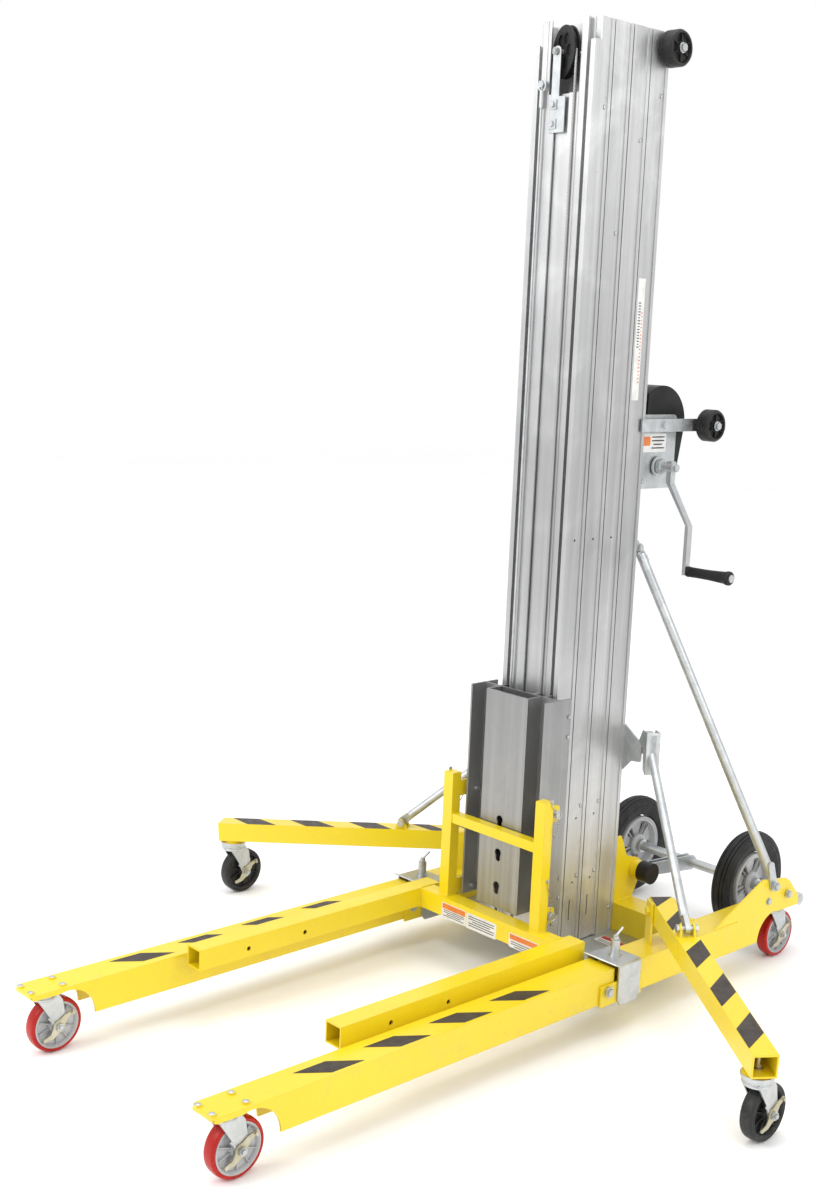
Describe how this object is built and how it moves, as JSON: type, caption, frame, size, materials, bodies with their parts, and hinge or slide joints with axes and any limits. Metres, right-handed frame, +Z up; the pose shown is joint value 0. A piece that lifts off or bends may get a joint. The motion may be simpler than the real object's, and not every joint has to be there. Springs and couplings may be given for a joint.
{
  "type": "drywall lift",
  "caption": "Mobile telescoping-mast lift with fork carriage, fold-up legs and outriggers, hand winch, swivel casters and transport wheels.",
  "frame": {"origin": "on the floor, at the middle of the footprint from leg tips to transport tyres", "axes": "+Z up, the forks and legs point to -Y, +X is the right-hand side, where the crank is"},
  "size_m": [1.8856, 2.067, 2.341],
  "materials": {
    "yellow_paint": "gloss",
    "zinc_steel": "satin zinc plate",
    "brake_steel": "yellow zinc plate",
    "mast_aluminium": "satin extruded",
    "red_tread": "satin",
    "black_tread": "satin",
    "tyre_rubber": "matte",
    "hub_plastic": "satin",
    "black_plastic": "satin",
    "roller_rubber": "matte",
    "grip_plastic": "satin",
    "wire_rope": "stranded",
    "drum_steel": "satin"
  },
  "bodies": {
    "base": {"base_frame": "yellow_paint", "base_plate": "zinc_steel", "tube_caps": "black_plastic", "mast_braces": "zinc_steel", "rear_axle": "zinc_steel", "mast_1": "mast_aluminium", "winch_frame": "zinc_steel", "winch_cover": "black_plastic", "winch_rope": "wire_rope"},
    "mast_2": {"mast_2": "mast_aluminium"},
    "mast_3": {"mast_3": "mast_aluminium"},
    "mast_4": {"mast_4": "mast_aluminium", "rope_anchor": "zinc_steel", "lift_rope": "wire_rope"},
    "carriage": {"carriage": "mast_aluminium", "fork_frame": "yellow_paint", "fork_right": "yellow_paint", "fork_left": "yellow_paint", "hitch_pins": "zinc_steel"},
    "leg_right": {"leg_right": "yellow_paint"},
    "leg_left": {"leg_left": "yellow_paint"},
    "saddle_right": {"saddle_right": "zinc_steel"},
    "saddle_left": {"saddle_left": "zinc_steel"},
    "plunger_right": {"plunger_right": "zinc_steel"},
    "plunger_left": {"plunger_left": "zinc_steel"},
    "outrigger_right": {"outrigger_right": "yellow_paint"},
    "outrigger_left": {"outrigger_left": "yellow_paint"},
    "brace_right": {"brace_right": "zinc_steel"},
    "brace_left": {"brace_left": "zinc_steel"},
    "transport_wheel_right": {"tyre_right": "tyre_rubber", "hub_right": "hub_plastic"},
    "transport_wheel_left": {"tyre_left": "tyre_rubber", "hub_left": "hub_plastic"},
    "top_sheave": {"top_sheave": "black_plastic"},
    "rear_sheave": {"rear_sheave": "black_plastic"},
    "winch_drum": {"winch_drum": "drum_steel"},
    "crank": {"crank": "zinc_steel"},
    "grip": {"grip": "grip_plastic"},
    "caster_front_right": {"fork_fr": "zinc_steel"},
    "caster_wheel_front_right": {"wheel_fr": "red_tread"},
    "caster_brake_front_right": {"brake_fr": "brake_steel"},
    "caster_front_left": {"fork_fl": "zinc_steel"},
    "caster_wheel_front_left": {"wheel_fl": "red_tread"},
    "caster_brake_front_left": {"brake_fl": "brake_steel"},
    "caster_rear_right": {"fork_rr": "zinc_steel"},
    "caster_wheel_rear_right": {"wheel_rr": "red_tread"},
    "caster_brake_rear_right": {"brake_rr": "brake_steel"},
    "caster_rear_left": {"fork_rl": "zinc_steel"},
    "caster_wheel_rear_left": {"wheel_rl": "red_tread"},
    "caster_brake_rear_left": {"brake_rl": "brake_steel"},
    "caster_outrigger_right": {"fork_or": "zinc_steel"},
    "caster_wheel_outrigger_right": {"wheel_or": "black_tread"},
    "caster_brake_outrigger_right": {"brake_or": "brake_steel"},
    "caster_outrigger_left": {"fork_ol": "zinc_steel"},
    "caster_wheel_outrigger_left": {"wheel_ol": "black_tread"},
    "caster_brake_outrigger_left": {"brake_ol": "brake_steel"},
    "roller_top_right": {"roller_top_right": "roller_rubber"},
    "roller_top_left": {"roller_top_left": "roller_rubber"},
    "roller_mid_right": {"roller_mid_right": "roller_rubber"},
    "roller_mid_left": {"roller_mid_left": "roller_rubber"}
  },
  "joints": [
    {"name": "mast_2_rise", "type": "slide", "parent": "base", "child": "mast_2", "axis": [0, 0, 1], "range_m": [0, 1.35]},
    {"name": "leg_right_fold", "type": "hinge", "parent": "base", "child": "leg_right", "pos_m": [0.337, 0.085, 0.11], "axis": [-1, 0, 0], "range_deg": [0, 90]},
    {"name": "leg_left_fold", "type": "hinge", "parent": "base", "child": "leg_left", "pos_m": [-0.337, 0.085, 0.11], "axis": [-1, 0, 0], "range_deg": [0, 90]},
    {"name": "outrigger_right_fold", "type": "hinge", "parent": "base", "child": "outrigger_right", "pos_m": [0.339, 0.331, 0.2395], "axis": [-0.5726, -0.8199, 0], "range_deg": [0, 80]},
    {"name": "outrigger_left_fold", "type": "hinge", "parent": "base", "child": "outrigger_left", "pos_m": [-0.339, 0.331, 0.2395], "axis": [-0.5726, 0.8199, 0], "range_deg": [0, 80]},
    {"name": "mast_3_rise", "type": "slide", "parent": "mast_2", "child": "mast_3", "axis": [0, 0, 1], "range_m": [0, 1.35]},
    {"name": "mast_4_rise", "type": "slide", "parent": "mast_3", "child": "mast_4", "axis": [0, 0, 1], "range_m": [0, 1.35]},
    {"name": "carriage_rise", "type": "slide", "parent": "mast_4", "child": "carriage", "axis": [0, 0, 1], "range_m": [0, 1.35], "deforming": ["lift_rope"]},
    {"name": "saddle_right_slide", "type": "slide", "parent": "base", "child": "saddle_right", "axis": [0, 1, 0], "range_m": [0, 0.046]},
    {"name": "plunger_right_lift", "type": "slide", "parent": "saddle_right", "child": "plunger_right", "axis": [0, 0, 1], "range_m": [0, 0.012]},
    {"name": "brace_right_fold", "type": "hinge", "parent": "outrigger_right", "child": "brace_right", "pos_m": [0.49202, 0.22413, 0.26749], "axis": [-0.5726, -0.8199, 0], "range_deg": [-130, 0]},
    {"name": "saddle_left_slide", "type": "slide", "parent": "base", "child": "saddle_left", "axis": [0, 1, 0], "range_m": [0, 0.046]},
    {"name": "plunger_left_lift", "type": "slide", "parent": "saddle_left", "child": "plunger_left", "axis": [0, 0, 1], "range_m": [0, 0.012]},
    {"name": "brace_left_fold", "type": "hinge", "parent": "outrigger_left", "child": "brace_left", "pos_m": [-0.49202, 0.22413, 0.26749], "axis": [-0.5726, 0.8199, 0], "range_deg": [-130, 0]},
    {"name": "crank_turn", "type": "hinge", "parent": "base", "child": "crank", "pos_m": [0, 0.53, 1.3], "axis": [1, 0, 0], "continuous": true},
    {"name": "winch_drum_turn", "type": "hinge", "parent": "base", "child": "winch_drum", "pos_m": [0, 0.548, 1.4], "axis": [1, 0, 0], "continuous": true},
    {"name": "grip_spin", "type": "hinge", "parent": "crank", "child": "grip", "pos_m": [0.2585, 0.53, 1.045], "axis": [1, 0, 0], "continuous": true},
    {"name": "caster_front_right_swivel", "type": "hinge", "parent": "leg_right", "child": "caster_front_right", "pos_m": [0.337, -0.987, 0.12], "axis": [0, 0, 1], "continuous": true},
    {"name": "caster_front_right_roll", "type": "hinge", "parent": "caster_front_right", "child": "caster_wheel_front_right", "pos_m": [0.337, -0.957, 0.0635], "axis": [1, 0, 0], "continuous": true},
    {"name": "caster_front_right_brake", "type": "hinge", "parent": "caster_front_right", "child": "caster_brake_front_right", "pos_m": [0.361, -0.957, 0.0635], "axis": [1, 0, 0], "range_deg": [0, 14]},
    {"name": "caster_front_left_swivel", "type": "hinge", "parent": "leg_left", "child": "caster_front_left", "pos_m": [-0.337, -0.987, 0.12], "axis": [0, 0, 1], "continuous": true},
    {"name": "caster_front_left_roll", "type": "hinge", "parent": "caster_front_left", "child": "caster_wheel_front_left", "pos_m": [-0.337, -0.957, 0.0635], "axis": [1, 0, 0], "continuous": true},
    {"name": "caster_front_left_brake", "type": "hinge", "parent": "caster_front_left", "child": "caster_brake_front_left", "pos_m": [-0.313, -0.957, 0.0635], "axis": [1, 0, 0], "range_deg": [0, 14]},
    {"name": "caster_rear_right_swivel", "type": "hinge", "parent": "base", "child": "caster_rear_right", "pos_m": [0.337, 0.803, 0.12], "axis": [0, 0, 1], "continuous": true},
    {"name": "caster_rear_right_roll", "type": "hinge", "parent": "caster_rear_right", "child": "caster_wheel_rear_right", "pos_m": [0.337, 0.833, 0.0635], "axis": [1, 0, 0], "continuous": true},
    {"name": "caster_rear_right_brake", "type": "hinge", "parent": "caster_rear_right", "child": "caster_brake_rear_right", "pos_m": [0.361, 0.833, 0.0635], "axis": [1, 0, 0], "range_deg": [0, 14]},
    {"name": "caster_rear_left_swivel", "type": "hinge", "parent": "base", "child": "caster_rear_left", "pos_m": [-0.337, 0.803, 0.12], "axis": [0, 0, 1], "continuous": true},
    {"name": "caster_rear_left_roll", "type": "hinge", "parent": "caster_rear_left", "child": "caster_wheel_rear_left", "pos_m": [-0.337, 0.833, 0.0635], "axis": [1, 0, 0], "continuous": true},
    {"name": "caster_rear_left_brake", "type": "hinge", "parent": "caster_rear_left", "child": "caster_brake_rear_left", "pos_m": [-0.313, 0.833, 0.0635], "axis": [1, 0, 0], "range_deg": [0, 14]},
    {"name": "caster_outrigger_right_swivel", "type": "hinge", "parent": "outrigger_right", "child": "caster_outrigger_right", "pos_m": [0.89573, -0.05781, 0.12], "axis": [0, 0, 1], "continuous": true},
    {"name": "caster_outrigger_right_roll", "type": "hinge", "parent": "caster_outrigger_right", "child": "caster_wheel_outrigger_right", "pos_m": [0.89573, -0.02781, 0.0635], "axis": [1, 0, 0], "continuous": true},
    {"name": "caster_outrigger_right_brake", "type": "hinge", "parent": "caster_outrigger_right", "child": "caster_brake_outrigger_right", "pos_m": [0.91973, -0.02781, 0.0635], "axis": [1, 0, 0], "range_deg": [0, 14]},
    {"name": "caster_outrigger_left_swivel", "type": "hinge", "parent": "outrigger_left", "child": "caster_outrigger_left", "pos_m": [-0.89573, -0.05781, 0.12], "axis": [0, 0, 1], "continuous": true},
    {"name": "caster_outrigger_left_roll", "type": "hinge", "parent": "caster_outrigger_left", "child": "caster_wheel_outrigger_left", "pos_m": [-0.89573, -0.02781, 0.0635], "axis": [1, 0, 0], "continuous": true},
    {"name": "caster_outrigger_left_brake", "type": "hinge", "parent": "caster_outrigger_left", "child": "caster_brake_outrigger_left", "pos_m": [-0.87173, -0.02781, 0.0635], "axis": [1, 0, 0], "range_deg": [0, 14]},
    {"name": "transport_wheel_right_roll", "type": "hinge", "parent": "base", "child": "transport_wheel_right", "pos_m": [0.2, 0.89, 0.153], "axis": [1, 0, 0], "continuous": true},
    {"name": "transport_wheel_left_roll", "type": "hinge", "parent": "base", "child": "transport_wheel_left", "pos_m": [-0.2, 0.89, 0.153], "axis": [1, 0, 0], "continuous": true},
    {"name": "top_sheave_spin", "type": "hinge", "parent": "mast_4", "child": "top_sheave", "pos_m": [-0.01201, 0.19568, 2.268], "axis": [0.3907, 0.9205, 0], "continuous": true},
    {"name": "rear_sheave_spin", "type": "hinge", "parent": "base", "child": "rear_sheave", "pos_m": [0, 0.434, 2.298], "axis": [1, 0, 0], "continuous": true},
    {"name": "roller_top_right_spin", "type": "hinge", "parent": "base", "child": "roller_top_right", "pos_m": [0.12, 0.434, 2.298], "axis": [1, 0, 0], "continuous": true},
    {"name": "roller_top_left_spin", "type": "hinge", "parent": "base", "child": "roller_top_left", "pos_m": [-0.12, 0.434, 2.298], "axis": [1, 0, 0], "continuous": true},
    {"name": "roller_mid_right_spin", "type": "hinge", "parent": "base", "child": "roller_mid_right", "pos_m": [0.12, 0.672, 1.405], "axis": [1, 0, 0], "continuous": true},
    {"name": "roller_mid_left_spin", "type": "hinge", "parent": "base", "child": "roller_mid_left", "pos_m": [-0.12, 0.672, 1.405], "axis": [1, 0, 0], "continuous": true}
  ],
  "couplings": [
    {"joint": "mast_3_rise", "follows": "mast_2_rise", "ratio": 1},
    {"joint": "mast_4_rise", "follows": "mast_2_rise", "ratio": 1},
    {"joint": "carriage_rise", "follows": "mast_2_rise", "ratio": 1},
    {"joint": "saddle_right_slide", "follows": "leg_right_fold", "m_per_rad": 0.0286},
    {"joint": "brace_right_fold", "follows": "outrigger_right_fold", "ratio": -1.6},
    {"joint": "saddle_left_slide", "follows": "leg_left_fold", "m_per_rad": 0.0286},
    {"joint": "brace_left_fold", "follows": "outrigger_left_fold", "ratio": -1.6},
    {"joint": "winch_drum_turn", "follows": "crank_turn", "ratio": -0.2353}
  ]
}
